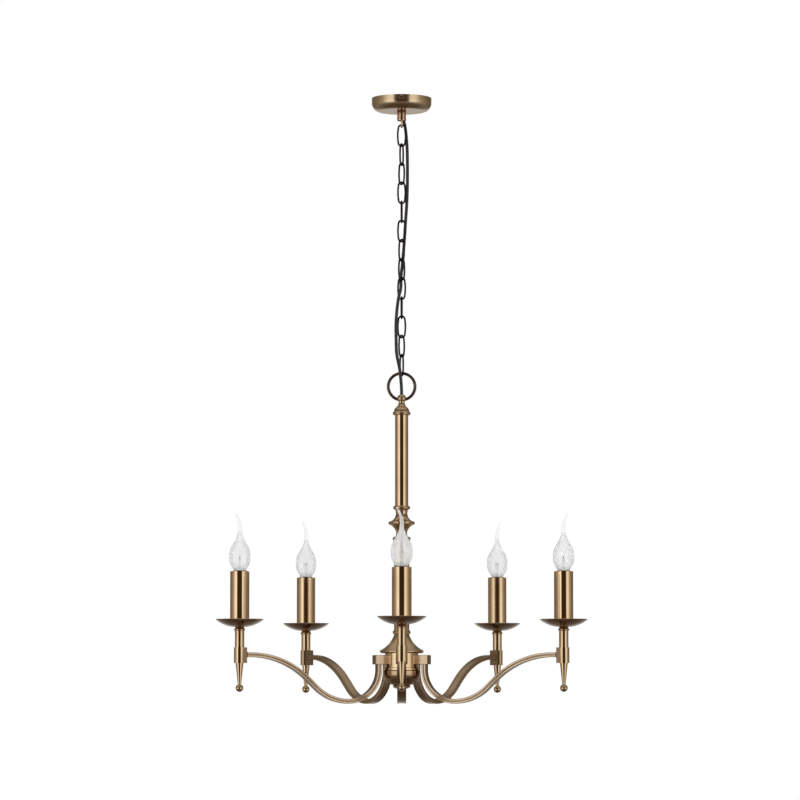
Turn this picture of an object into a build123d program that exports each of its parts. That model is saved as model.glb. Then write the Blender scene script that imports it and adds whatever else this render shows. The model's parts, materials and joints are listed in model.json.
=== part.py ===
from build123d import *
from math import atan2, cos, degrees, radians, sin, sqrt
import os

# Five-light candle chandelier on a chain.
# Millimetres. The origin is the centre of the ceiling plane, +Z is up and the fitting hangs below it.
# Arm 1 points along -Y, and the arms are numbered anticlockwise seen from above.

# Clearances
slip = 0.1  # radial clearance of a spigot, rod or screw in its hole
seat = 0.3  # gap between two pieces that swing or turn against each other

# Ceiling rose and its strap
rose_radius = 51.0
rose_depth = 22.6
rose_wall = 1.0
rose_corner_radius = 13.5
strap_width = 20.0
strap_thickness = 1.5
strap_drop = 8.0
strap_middle = 46.0
strap_bend_radius = 1.6
strap_rose_gap = 0.4
tab_depth = 10.0
ceiling_screw_spacing = 66.0
ceiling_slot_length = 12.0
ceiling_slot_width = 4.6
side_screw_drop = 5.5
side_screw_radius = 1.7
side_screw_head_radius = 3.75
side_screw_head_height = 2.2
side_screw_length = 9.0
screw_socket_radius = 1.9
screw_socket_depth = 1.4
terminal_length = 24.0
terminal_width = 10.0
terminal_height = 9.0
terminal_offset = 17.0
terminal_way_radius = 1.6
terminal_screw_radius = 1.4

# Hanging nipple, cup and loop
nipple_radius = 5.0
nipple_bore_radius = 3.2
nipple_rise = 4.0
nut_across_flats = 14.0
nut_height = 3.0
cup_ring_radius = 8.3
cup_ring_height = 3.2
cup_radius = 7.7
cup_wall = 0.7
cup_length = 16.0
cup_end_radius = 3.0
loop_disc_height = 3.0
loop_disc_drop = 3.5
loop_half_width = 4.9
loop_wire_radius = 1.7
loop_way_radius = 4.4
loop_length = 28.4

# Chain
link_count = 13
link_length = 39.5
link_width = 16.5
link_wire_radius = 1.6
link_end_radius = 5.6
link_seam = 0.25
chain_yaws = [0, 66, -48, 20, 86, 20, -48, 44, -22, 85, -17, 48, -66]

# Suspension ring and the head that it is brazed into
ring_radius = 25.3
ring_wire_radius = 2.6
ring_end_gap = 3.9
head_radius = 7.5
head_sink = 2.7
flex_radius = 2.75
flex_way_radius = 3.0
neck_radius = 5.35
neck_drop = 7.1
cap_top_radius = 8.3
cap_top_drop = 14.3
holder_spigot_radius = 7.8
holder_spigot_length = 9.0

# Column
cap_shoulder_radius = 13.35
cap_dome_height = 8.5
flange_radius = 15.3
flange_height = 5.9
register_length = 4.0
column_radius = 11.3
column_length = 154.2
tube_wall = 1.2
knop_bead_radius = 14.6
knop_bead_height = 6.2
knop_neck_radius = 9.85
knop_neck_drop = 12.4
knop_disc_radius = 22.6
knop_disc_drop = 29.2
knop_rim_radius = 3.1
knop_waist_radius = 9.25
knop_waist_drop = 45.5
knop_foot_radius = 15.3
knop_foot_drop = 55.8
knop_foot_height = 7.0
lower_tube_radius = 13.0
lower_tube_length = 150.8

# Hub
bell_bead_radius = 15.2
bell_bead_height = 7.6
bell_throat_radius = 12.75
bell_height = 39.1
bell_lip_radius = 37.2
bell_lip_height = 5.4
bell_chamber_radius = 24.0
hub_radius = 28.2
hub_wall = 3.0
hub_height = 28.3
hub_foot_radius = 29.8
hub_foot_height = 3.5
bowl_radius = 31.6
bowl_rim_height = 1.6
bowl_depth = 26.0
bowl_foot_radius = 13.6
bowl_wall = 3.0
finial_radius = 14.8
finial_height = 5.2
rod_radius = 5.0
rod_bore_radius = 3.4

# Arms
arm_count = 5
first_arm_azimuth = -90
candle_circle_radius = 284.4
lug_width = 20.0
lug_height = 15.7
lug_end_radius = 49.0
lug_drop = 3.2
lug_edge_radius = 0.9
arm_root_radius = 40.8
arm_width = 15.0
arm_thickness = 7.9
arm_corner_radius = 0.9
arm_reed_radius = 1.1
arm_panel_width = 9.0
arm_panel_depth = 0.4
arm_straight_drop = 8.7
arm_heel_radius = 53.5
arm_sole_radius = 82.0
arm_rise_angle = 44.0
arm_crest_radius = 142.0
arm_crest_level = -949.6
arm_nipple_radius = 4.0
arm_nipple_bore_radius = 2.2
arm_nipple_length = 20.0
arm_nipple_grip = 9.0
arm_nut_across_flats = 12.0
arm_nut_height = 3.0

# Candle ends
knuckle_radius = 9.4
knuckle_height = 26.0
knuckle_rise = 12.2
knuckle_pad = 1.5
knuckle_pad_width = 16.4
knuckle_boss = 1.6
stem_radius = 7.9
stem_height = 27.7
stem_collar_radius = 9.4
stem_collar_height = 6.1
stem_spigot_radius = 5.0
stem_spigot_length = 9.0
stem_bore_radius = 2.4
spike_radius = 6.6
spike_tip_radius = 2.9
spike_length = 35.8
spike_ball_radius = 6.5
spike_spigot_radius = 4.0
spike_spigot_length = 6.0
pan_radius = 40.0
pan_rise = 12.7
pan_flat_radius = 5.0
pan_wall = 1.0
candle_radius = 16.1
candle_wall = 0.9
candle_top_rise = 93.0
holder_radius = 12.0
holder_mouth_radius = 11.0
holder_throat_radius = 7.8
holder_throat_drop = 10.0
holder_socket_depth = 37.0
holder_proud = 1.2

# Lamps
cap_radius = 6.95
cap_shell_height = 17.0
cap_contact_radius = 2.4
cap_insulator_height = 5.0
glass_wall = 0.8
glass_neck_radius = 6.6
glass_tip_radius = 1.2
glass_tip_bend_radius = 38.0
glass_tip_bend = 38.0
glass_tip_straight = 7.0
front_tip_turn = -90
# radius of the glass at heights above the top of the candle tube, from the neck to the foot of the tip
glass_outline = [(9.9, 2.0), (15.8, 11.7), (17.8, 25.8), (16.0, 37.5), (9.7, 49.0), (5.2, 58.6), (3.6, 66.0)]

# Levels, from the ceiling down
rose_bottom = -rose_depth
loop_disc_top = rose_bottom - loop_disc_drop
loop_bottom = rose_bottom - loop_length
link_pitch = link_length - 4 * link_wire_radius - seat
first_link_top = loop_bottom + 2 * loop_wire_radius + seat + 2 * link_wire_radius
ring_top = (
    first_link_top - (link_count - 1) * link_pitch - link_length
    + 2 * link_wire_radius + seat + 2 * ring_wire_radius
)
ring_centre = ring_top - ring_radius
ring_line_radius = ring_radius - ring_wire_radius
head_centre = ring_centre - ring_line_radius + head_sink
head_top = head_centre + head_radius
cap_top = head_centre - cap_top_drop
flange_bottom = cap_top - cap_dome_height - flange_height
column_bottom = flange_bottom - column_length
knop_bottom = column_bottom - knop_foot_drop - knop_foot_height / 2
bell_top = knop_bottom - lower_tube_length
bell_bottom = bell_top - bell_height
hub_bottom = bell_bottom - hub_height
bowl_bottom = hub_bottom - bowl_depth
rod_top = cap_top - holder_spigot_length + 6
rod_bottom = bowl_bottom - finial_height + 1.6
lug_top = bell_bottom - lug_drop
lug_bottom = lug_top - lug_height
lug_middle = lug_top - lug_height / 2
knuckle_top = arm_crest_level + knuckle_rise
knuckle_bottom = knuckle_top - knuckle_height
stem_top = knuckle_top + stem_height + stem_collar_height
candle_top = stem_top + candle_top_rise
holder_top = candle_top + holder_proud
glass_bottom = holder_top - holder_throat_drop
cap_bottom = glass_bottom - cap_shell_height - cap_insulator_height

# The underside of the pan is an arc that leaves the flat middle level and reaches the rim
pan_reach = pan_radius - pan_flat_radius
pan_arc_radius = (pan_reach**2 + pan_rise**2) / (2 * pan_rise)
pan_arc_centre = stem_top + pan_arc_radius


def pan_top_at(radius):
    """Height of the pan's upper face at a radius."""
    inner_arc = pan_arc_radius - pan_wall
    return pan_arc_centre - sqrt(inner_arc**2 - (radius - pan_flat_radius) ** 2)


candle_bottom = pan_top_at(candle_radius)

os.makedirs("parts", exist_ok=True)


def save(piece, name):
    """Label a finished piece and write it to its STEP file."""
    piece.label = name
    export_step(piece, f"parts/{name}.step")


def ring_section(inner, outer, bottom, top):
    """A rectangle between two radii and two levels, for a revolve about Z."""
    with Locations(((inner + outer) / 2, (bottom + top) / 2)):
        Rectangle(outer - inner, top - bottom)


# ---------------------------------------------------------------- ceiling

with BuildPart() as ceiling_bracket:
    with BuildSketch(Plane.YZ):
        with BuildLine():
            tab_face = sqrt((rose_radius - rose_wall - strap_rose_gap) ** 2 - (strap_width / 2) ** 2)
            tab_line = tab_face - strap_thickness / 2
            ceiling_line = -strap_thickness / 2
            FilletPolyline(
                (0, ceiling_line - strap_drop),
                (strap_middle / 2, ceiling_line - strap_drop),
                (strap_middle / 2 + 3, ceiling_line),
                (tab_line, ceiling_line),
                (tab_line, -tab_depth),
                radius=strap_bend_radius,
            )
        trace(line_width=strap_thickness)
    extrude(amount=strap_width / 2, both=True)
    mirror(about=Plane.XZ)
    with BuildSketch(Plane.XY):
        with GridLocations(0, ceiling_screw_spacing, 1, 2):
            SlotOverall(ceiling_slot_length, ceiling_slot_width, rotation=90)
    extrude(amount=-strap_thickness, mode=Mode.SUBTRACT)
    with BuildSketch(Plane.XY):
        Circle(nipple_radius + slip)
    extrude(amount=-strap_drop - strap_thickness, mode=Mode.SUBTRACT)
    with BuildSketch(Plane.XZ):
        with Locations((0, -side_screw_drop)):
            Circle(side_screw_radius + slip)
    extrude(amount=rose_radius, both=True, mode=Mode.SUBTRACT)
save(ceiling_bracket.part, "ceiling_bracket")

with BuildPart() as ceiling_rose:
    with BuildSketch(Plane.XZ):
        with BuildLine():
            wall_line = rose_radius - rose_wall / 2
            floor_line = rose_bottom + rose_wall / 2
            FilletPolyline(
                (wall_line, 0),
                (wall_line, floor_line),
                (nipple_radius + slip, floor_line),
                radius=rose_corner_radius,
            )
        trace(line_width=rose_wall)
    revolve(axis=Axis.Z)
    with BuildSketch(Plane.XZ):
        with Locations((0, -side_screw_drop)):
            Circle(side_screw_radius + slip)
    extrude(amount=rose_radius + 1, both=True, mode=Mode.SUBTRACT)
save(ceiling_rose.part, "ceiling_rose")

with BuildPart() as rose_screws:
    with BuildSketch(Plane.XY.offset(-side_screw_drop)):
        with BuildLine():
            head_face = rose_radius + side_screw_head_height
            Polyline(
                (0, rose_radius - side_screw_length),
                (side_screw_radius, rose_radius - side_screw_length),
                (side_screw_radius, rose_radius),
                (side_screw_head_radius, rose_radius),
                (side_screw_head_radius, head_face - 0.6),
                (side_screw_head_radius - 0.6, head_face),
                (screw_socket_radius, head_face),
                (screw_socket_radius, head_face - screw_socket_depth),
                (0, head_face - screw_socket_depth),
                close=True,
            )
        make_face()
    revolve(axis=Axis((0, 0, -side_screw_drop), (0, 1, 0)))
    mirror(about=Plane.XZ)
save(rose_screws.part, "rose_screws")

with BuildPart() as terminal_block:
    terminal_top = -strap_drop - strap_thickness
    terminal_middle = terminal_top - terminal_height / 2
    with BuildSketch(Plane.XY.offset(terminal_top)):
        with Locations((0, terminal_offset)):
            RectangleRounded(terminal_length, terminal_width, 1.2)
    extrude(amount=-terminal_height)
    with BuildSketch(Plane.XZ.offset(-terminal_offset)):
        with Locations((0, terminal_middle)):
            with GridLocations(terminal_length / 3, 1, 3, 1):
                Circle(terminal_way_radius)
    extrude(amount=terminal_width, both=True, mode=Mode.SUBTRACT)
    with BuildSketch(Plane.XY.offset(terminal_top - terminal_height)):
        with Locations((0, terminal_offset)):
            with GridLocations(terminal_length / 3, terminal_width / 2, 3, 2):
                Circle(terminal_screw_radius)
    extrude(amount=terminal_height / 2, mode=Mode.SUBTRACT)
save(terminal_block.part, "terminal_block")

with BuildPart() as hanging_nipple:
    with BuildSketch(Plane.XZ):
        ring_section(nipple_bore_radius, nipple_radius, loop_disc_top, -nipple_rise)
    revolve(axis=Axis.Z)
    chamfer(hanging_nipple.edges().filter_by(GeomType.CIRCLE).group_by(SortBy.RADIUS)[-1], 0.5)
save(hanging_nipple.part, "hanging_nipple")

with BuildPart() as nipple_nuts:
    upper_nut_bottom = -strap_drop
    lower_nut_top = -strap_drop - strap_thickness
    for nut_base in (upper_nut_bottom, lower_nut_top - nut_height):
        with BuildSketch(Plane.XY.offset(nut_base)):
            RegularPolygon(nut_across_flats / 2, 6, major_radius=False)
            Circle(nipple_radius + slip, mode=Mode.SUBTRACT)
        extrude(amount=nut_height)
save(nipple_nuts.part, "nipple_nuts")

with BuildPart() as loop_cup:
    cup_bottom = rose_bottom - cup_length
    with BuildSketch(Plane.XZ):
        with BuildLine():
            Polyline(
                (nipple_radius + slip, rose_bottom),
                (cup_ring_radius - 0.8, rose_bottom),
                (cup_ring_radius, rose_bottom - cup_ring_height / 2),
                (cup_ring_radius - 0.8, rose_bottom - cup_ring_height),
                (cup_radius - 0.4, rose_bottom - cup_ring_height),
                (cup_radius, cup_bottom + cup_end_radius),
            )
            ThreePointArc(
                (cup_radius, cup_bottom + cup_end_radius),
                (cup_radius - 0.15, cup_bottom + cup_end_radius / 3),
                (cup_radius - 0.5, cup_bottom),
            )
            Polyline(
                (cup_radius - 0.5, cup_bottom),
                (cup_radius - cup_wall, cup_bottom + 0.4),
                (cup_radius - cup_wall, rose_bottom - cup_ring_height),
                (nipple_radius + slip, rose_bottom - cup_ring_height),
                (nipple_radius + slip, rose_bottom),
            )
        make_face()
    revolve(axis=Axis.Z)
save(loop_cup.part, "loop_cup")

with BuildPart() as ceiling_loop:
    with BuildSketch(Plane.XZ):
        ring_section(
            loop_way_radius, cup_radius - cup_wall - slip,
            loop_disc_top - loop_disc_height, loop_disc_top,
        )
    revolve(axis=Axis.Z)
    loop_bend_level = loop_bottom + loop_wire_radius + loop_half_width
    loop_root = loop_disc_top - loop_disc_height / 2
    with BuildLine() as loop_path:
        loop_points = [
            (0, -loop_half_width, loop_root),
            (0, -loop_half_width, loop_bend_level),
            (0, 0, loop_bottom + loop_wire_radius),
            (0, loop_half_width, loop_bend_level),
            (0, loop_half_width, loop_root),
        ]
        Line(loop_points[0], loop_points[1])
        ThreePointArc(loop_points[1], loop_points[2], loop_points[3])
        Line(loop_points[3], loop_points[4])
    with BuildSketch(Plane(loop_points[0], z_dir=(0, 0, -1))):
        Circle(loop_wire_radius)
    sweep(path=loop_path.wire())
save(ceiling_loop.part, "ceiling_loop")

# ---------------------------------------------------------------- chain

# A link's centre line is four tangent arcs: two tight ends and two long bulging sides
link_line_end = link_length / 2 - link_wire_radius - link_end_radius
link_half_width = link_width / 2 - link_wire_radius
link_side_radius = (link_line_end**2 + link_half_width**2 - link_end_radius**2) / (
    2 * (link_half_width - link_end_radius)
)
link_side_centre = link_side_radius - link_half_width
link_side_angle = degrees(atan2(link_line_end, link_side_centre))

with BuildPart() as link_blank:
    with BuildLine(Plane.XZ) as link_path:
        side_sweep = 2 * link_side_angle
        end_sweep = 180 - side_sweep
        CenterArc((-link_side_centre, 0), link_side_radius, -link_side_angle, side_sweep)
        CenterArc((0, link_line_end), link_end_radius, link_side_angle, end_sweep)
        CenterArc((link_side_centre, 0), link_side_radius, 180 - link_side_angle, side_sweep)
        CenterArc((0, -link_line_end), link_end_radius, 180 + link_side_angle, end_sweep)
    with BuildSketch(Plane((link_half_width, 0, 0), z_dir=(0, 0, 1))):
        Circle(link_wire_radius)
    sweep(path=link_path.wire(), is_frenet=True)
    with Locations((link_half_width, 0, 0)):
        Box(4 * link_wire_radius, 4 * link_wire_radius, link_seam, mode=Mode.SUBTRACT)

for number, yaw in enumerate(chain_yaws):
    link_centre = first_link_top - number * link_pitch - link_length / 2
    with BuildPart() as chain_link:
        with Locations((0, 0, link_centre)):
            add(link_blank.part, rotation=(0, 0, yaw))
    save(chain_link.part, f"chain_link_{number + 1:02d}")

# The flex comes down through the nipple, hangs behind the chain's right side, is threaded
# through link 9 and ends in the suspension head
flex_points = [
    (0, 0, -20),
    (0, 0, -28.5),
    (2.9, 0.8, -36.5),
    (5.4, 4.4, -44.5),
    (7.4, 5.6, -58),
    (9.6, 4.8, -85),
    (10.0, 4.2, -120),
    (9.9, 5.4, -150),
    (9.0, 6.4, -178),
    (6.6, 7.6, -212),
    (4.2, 8.0, -250),
    (1.4, 8.8, -284),
    (-1.6, 7.8, -307),
    (-0.8, 0.2, -326),
    (-5.3, -4.3, -341),
    (-8.0, -5.4, -362),
    (-10.0, -4.6, -388),
    (-9.4, -3.2, -414),
    (-9.1, -4.3, -438),
    (-3.6, -7.1, -462),
    (-1.8, -6.8, -478),
    (0, 0, -497),
    (0, 0, head_top - 9),
]


def bend_radii(points, share=0.45):
    """The largest tangent arc at each corner of a route, from its shorter run."""
    radii = []
    for before, corner, after in zip(points, points[1:], points[2:]):
        into, out = Vector(*corner) - Vector(*before), Vector(*after) - Vector(*corner)
        turn = radians(into.get_angle(out))
        radii.append(share * min(into.length, out.length) / sin(turn / 2) * cos(turn / 2))
    return radii


flex_radii = bend_radii(flex_points)
print("flex bend radii", [round(radius) for radius in flex_radii])

with BuildPart() as flex_cable:
    with BuildLine() as flex_path:
        FilletPolyline(*flex_points, radius=flex_radii)
    with BuildSketch(Plane(flex_points[0], z_dir=(0, 0, -1))):
        Circle(flex_radius)
    sweep(path=flex_path.wire())
print("flex length", round(flex_path.wire().length, 1))
save(flex_cable.part, "flex_cable")

# ---------------------------------------------------------------- suspension ring and column

ring_end_angle = degrees(atan2(ring_end_gap, sqrt(ring_line_radius**2 - ring_end_gap**2)))


def ring_sweep(wire_radius, mode):
    """The open ring, from one braze socket in the head round to the other."""
    with BuildLine(Plane.XZ) as ring_path:
        CenterArc(
            (0, ring_centre), ring_line_radius, ring_end_angle - 90, 360 - 2 * ring_end_angle
        )
    ring_wire = ring_path.wire()
    with BuildSketch(Plane(ring_wire @ 0, z_dir=ring_wire % 0)) as wire_section:
        Circle(wire_radius)
    sweep(wire_section.sketch, path=ring_wire, mode=mode)


with BuildPart() as suspension_ring:
    ring_sweep(ring_wire_radius, Mode.ADD)
save(suspension_ring.part, "suspension_ring")

with BuildPart() as ring_holder:
    spigot_bottom = cap_top - holder_spigot_length
    neck_level = head_centre - neck_drop
    head_join = sqrt(head_radius**2 - neck_radius**2)
    crown = sqrt(head_radius**2 - (flex_way_radius + 0.6) ** 2)
    with BuildSketch(Plane.XZ):
        with BuildLine():
            Line((flex_way_radius, head_centre + crown - 0.6), (flex_way_radius + 0.6, head_centre + crown))
            ThreePointArc(
                (flex_way_radius + 0.6, head_centre + crown),
                (head_radius, head_centre),
                (neck_radius, head_centre - head_join),
            )
            Line((neck_radius, head_centre - head_join), (neck_radius, neck_level))
            TangentArc((neck_radius, neck_level), (cap_top_radius, cap_top), tangent=(0, -1))
            Polyline(
                (cap_top_radius, cap_top),
                (holder_spigot_radius, cap_top),
                (holder_spigot_radius, spigot_bottom),
                (rod_radius + slip, spigot_bottom),
                (rod_radius + slip, rod_top),
                (flex_way_radius, rod_top),
                (flex_way_radius, head_centre + crown - 0.6),
            )
        make_face()
    revolve(axis=Axis.Z)
    ring_sweep(ring_wire_radius + slip / 2, Mode.SUBTRACT)
save(ring_holder.part, "ring_holder")

with BuildPart() as column_cap:
    shoulder = cap_top - cap_dome_height
    register_radius = column_radius - tube_wall - slip
    with BuildSketch(Plane.XZ):
        with BuildLine():
            Line((holder_spigot_radius + slip, cap_top), (cap_top_radius, cap_top))
            ThreePointArc(
                (cap_top_radius, cap_top),
                (cap_top_radius + 3.1, cap_top - 2.9),
                (cap_shoulder_radius, shoulder),
            )
            Line((cap_shoulder_radius, shoulder), (cap_shoulder_radius + 0.4, shoulder))
            ThreePointArc(
                (cap_shoulder_radius + 0.4, shoulder),
                (flange_radius, shoulder - flange_height / 2),
                (cap_shoulder_radius + 0.4, flange_bottom),
            )
            Polyline(
                (cap_shoulder_radius + 0.4, flange_bottom),
                (register_radius, flange_bottom),
                (register_radius, flange_bottom - register_length),
                (holder_spigot_radius + slip, flange_bottom - register_length),
                (holder_spigot_radius + slip, cap_top),
            )
        make_face()
    revolve(axis=Axis.Z)
save(column_cap.part, "column_cap")

with BuildPart() as column_tube:
    with BuildSketch(Plane.XZ):
        ring_section(column_radius - tube_wall, column_radius, column_bottom, flange_bottom)
    revolve(axis=Axis.Z)
save(column_tube.part, "column_tube")

with BuildPart() as column_knop:
    upper_register = column_radius - tube_wall - slip
    lower_register = lower_tube_radius - tube_wall - slip
    bead_foot = column_bottom - knop_bead_height
    neck = column_bottom - knop_neck_drop
    disc = column_bottom - knop_disc_drop
    waist = column_bottom - knop_waist_drop
    foot = column_bottom - knop_foot_drop
    bead_root = knop_bead_radius - knop_bead_height / 3
    foot_root = knop_foot_radius - knop_foot_height / 3
    rim_root = knop_disc_radius - knop_rim_radius
    with BuildSketch(Plane.XZ):
        with BuildLine():
            Polyline(
                (rod_radius + slip, column_bottom + register_length),
                (upper_register, column_bottom + register_length),
                (upper_register, column_bottom),
                (bead_root, column_bottom),
            )
            ThreePointArc(
                (bead_root, column_bottom),
                (knop_bead_radius, column_bottom - knop_bead_height / 2),
                (bead_root, bead_foot),
            )
            Line((bead_root, bead_foot), (knop_neck_radius + 1.2, bead_foot - 0.4))
            ThreePointArc(
                (knop_neck_radius + 1.2, bead_foot - 0.4),
                (knop_neck_radius, neck),
                (knop_neck_radius + 3.4, neck - 9.4),
            )
            TangentArc(
                (knop_neck_radius + 3.4, neck - 9.4),
                (rim_root, disc + knop_rim_radius),
                tangent=(0.62, -0.78),
            )
            ThreePointArc(
                (rim_root, disc + knop_rim_radius),
                (knop_disc_radius, disc),
                (rim_root, disc - knop_rim_radius),
            )
            ThreePointArc(
                (rim_root, disc - knop_rim_radius),
                (knop_waist_radius + 2.6, waist + 6.6),
                (knop_waist_radius, waist),
            )
            Polyline(
                (knop_waist_radius, waist),
                (knop_waist_radius + 0.8, foot + knop_foot_height / 2 + 0.8),
                (foot_root, foot + knop_foot_height / 2),
            )
            ThreePointArc(
                (foot_root, foot + knop_foot_height / 2),
                (knop_foot_radius, foot),
                (foot_root, knop_bottom),
            )
            Polyline(
                (foot_root, knop_bottom),
                (lower_register, knop_bottom),
                (lower_register, knop_bottom - register_length),
                (rod_radius + slip, knop_bottom - register_length),
                (rod_radius + slip, column_bottom + register_length),
            )
        make_face()
    revolve(axis=Axis.Z)
save(column_knop.part, "column_knop")

with BuildPart() as lower_tube:
    with BuildSketch(Plane.XZ):
        ring_section(lower_tube_radius - tube_wall, lower_tube_radius, bell_top, knop_bottom)
    revolve(axis=Axis.Z)
save(lower_tube.part, "lower_tube")

with BuildPart() as tie_rod:
    with BuildSketch(Plane.XZ):
        ring_section(rod_bore_radius, rod_radius, rod_bottom, rod_top)
    revolve(axis=Axis.Z)
save(tie_rod.part, "tie_rod")

# ---------------------------------------------------------------- hub

with BuildPart() as hub_bell:
    bell_register = lower_tube_radius - tube_wall - slip
    bead_root = bell_bead_radius - bell_bead_height / 3
    throat = bell_top - bell_bead_height
    lip_top = bell_bottom + bell_lip_height
    with BuildSketch(Plane.XZ):
        with BuildLine():
            Polyline(
                (rod_radius + slip, bell_top + register_length),
                (bell_register, bell_top + register_length),
                (bell_register, bell_top),
                (bead_root, bell_top),
            )
            ThreePointArc(
                (bead_root, bell_top),
                (bell_bead_radius, bell_top - bell_bead_height / 2),
                (bead_root, throat),
            )
            Line((bead_root, throat), (bell_throat_radius, throat))
            ThreePointArc(
                (bell_throat_radius, throat),
                (bell_throat_radius + 6.4, throat - 12.3),
                (bell_lip_radius - 1.4, lip_top),
            )
            ThreePointArc(
                (bell_lip_radius - 1.4, lip_top),
                (bell_lip_radius, lip_top - 2.4),
                (bell_lip_radius - 1.4, bell_bottom + 0.6),
            )
            Polyline(
                (bell_lip_radius - 1.4, bell_bottom + 0.6),
                (bell_lip_radius - 2.2, bell_bottom),
                (bell_chamber_radius, bell_bottom),
                (bell_chamber_radius, bell_bottom + 7),
                (bell_throat_radius - 2, throat - 9),
                (rod_radius + slip, throat - 4),
                (rod_radius + slip, bell_top + register_length),
            )
        make_face()
    revolve(axis=Axis.Z)
save(hub_bell.part, "hub_bell")

with BuildPart() as hub_body:
    hub_ceiling = bell_bottom - hub_wall
    foot_top = hub_bottom + hub_foot_height
    with BuildSketch(Plane.XZ):
        with BuildLine():
            Polyline(
                (rod_radius + slip, bell_bottom),
                (hub_radius, bell_bottom),
                (hub_radius, foot_top + 0.6),
                (hub_foot_radius, foot_top),
                (hub_foot_radius, hub_bottom),
                (hub_radius - hub_wall, hub_bottom),
                (hub_radius - hub_wall, hub_ceiling),
                (rod_radius + slip, hub_ceiling),
                close=True,
            )
        make_face()
    revolve(axis=Axis.Z)
    with PolarLocations(0, arm_count, start_angle=first_arm_azimuth):
        with Locations(Location((hub_radius / 2 + hub_wall, 0, lug_middle), (0, 90, 0))):
            Cylinder(arm_nipple_radius + slip, hub_radius, mode=Mode.SUBTRACT)
save(hub_body.part, "hub_body")

with BuildPart() as hub_bowl:
    with BuildSketch(Plane.XZ):
        with BuildLine():
            rim_bottom = hub_bottom - bowl_rim_height
            bulge = ((bowl_radius + bowl_foot_radius) / 2 + 3.9, (rim_bottom + bowl_bottom) / 2 - 3.9)
            Line((bowl_radius - 0.5, hub_bottom), (bowl_radius, rim_bottom))
            ThreePointArc((bowl_radius, rim_bottom), bulge, (bowl_foot_radius, bowl_bottom))
            Polyline(
                (bowl_foot_radius, bowl_bottom),
                (rod_radius + slip, bowl_bottom),
                (rod_radius + slip, bowl_bottom + bowl_wall),
                (bowl_foot_radius - 2, bowl_bottom + bowl_wall),
            )
            ThreePointArc(
                (bowl_foot_radius - 2, bowl_bottom + bowl_wall),
                (bulge[0] - bowl_wall, bulge[1] + bowl_wall),
                (hub_radius - hub_wall, hub_bottom),
            )
            Line((hub_radius - hub_wall, hub_bottom), (bowl_radius - 0.5, hub_bottom))
        make_face()
    revolve(axis=Axis.Z)
save(hub_bowl.part, "hub_bowl")

with BuildPart() as hub_finial_nut:
    finial_bottom = bowl_bottom - finial_height
    with BuildSketch(Plane.XZ):
        with BuildLine():
            Polyline(
                (0, rod_bottom),
                (rod_radius + slip, rod_bottom),
                (rod_radius + slip, bowl_bottom),
                (finial_radius - 1.6, bowl_bottom),
            )
            ThreePointArc(
                (finial_radius - 1.6, bowl_bottom),
                (finial_radius, bowl_bottom - 1.8),
                (finial_radius - 1.2, bowl_bottom - 3.6),
            )
            Polyline(
                (finial_radius - 1.2, bowl_bottom - 3.6),
                (finial_radius - 4, finial_bottom),
                (0, finial_bottom),
                (0, rod_bottom),
            )
        make_face()
    revolve(axis=Axis.Z)
save(hub_finial_nut.part, "hub_finial_nut")

# ---------------------------------------------------------------- arms

arm_end_radius = candle_circle_radius - knuckle_radius - knuckle_pad - knuckle_boss
rise = radians(arm_rise_angle)
arm_sole_level = lug_bottom - arm_straight_drop - arm_heel_radius
slope_height = arm_crest_level - arm_sole_level - (arm_sole_radius + arm_crest_radius) * (1 - cos(rise))

with BuildPart() as arm_blank:
    with BuildSketch(Plane.XY.offset(lug_bottom)):
        with Locations(((hub_radius - 4 + lug_end_radius) / 2, 0)):
            Rectangle(lug_end_radius - hub_radius + 4, lug_width)
    extrude(amount=lug_height)
    fillet(arm_blank.edges().filter_by(Axis.X), lug_edge_radius)
    fillet(arm_blank.faces().sort_by(Axis.X)[-1].edges(), lug_edge_radius)
    with BuildSketch(Plane.XY.offset(lug_bottom)):
        Circle(hub_radius)
    extrude(amount=lug_height, mode=Mode.SUBTRACT)
    with BuildLine(Plane.XZ) as arm_path:
        drop = Line((arm_root_radius, lug_bottom), (arm_root_radius, lug_bottom - arm_straight_drop))
        heel = JernArc(drop @ 1, drop % 1, arm_heel_radius, 90)
        sole = JernArc(heel @ 1, heel % 1, arm_sole_radius, arm_rise_angle)
        slope = Line(sole @ 1, (sole @ 1) + (sole % 1) * (slope_height / sin(rise)))
        crest = JernArc(slope @ 1, slope % 1, arm_crest_radius, -arm_rise_angle)
        Line(crest @ 1, (arm_end_radius, arm_crest_level))
    with BuildSketch(Plane((arm_root_radius, 0, lug_bottom), x_dir=(1, 0, 0), z_dir=(0, 0, -1))):
        bar = Rectangle(arm_thickness, arm_width)
        fillet(bar.vertices(), arm_corner_radius)
        with Locations((0, arm_width / 2), (0, -arm_width / 2)):
            Circle(arm_reed_radius, mode=Mode.SUBTRACT)
        with Locations((arm_thickness / 2, 0), (-arm_thickness / 2, 0)):
            Rectangle(2 * arm_panel_depth, arm_panel_width, mode=Mode.SUBTRACT)
    sweep(path=arm_path.wire())
    with Locations(Location((hub_radius, 0, lug_middle), (0, 90, 0))):
        Cylinder(arm_nipple_radius + slip, 2 * arm_nipple_grip, mode=Mode.SUBTRACT)

with BuildPart() as arm_nipple_blank:
    with BuildSketch(Plane.YZ.offset(hub_radius + arm_nipple_grip - arm_nipple_length)):
        with Locations((0, lug_middle)):
            Circle(arm_nipple_radius)
            Circle(arm_nipple_bore_radius, mode=Mode.SUBTRACT)
    extrude(amount=arm_nipple_length)

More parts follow.
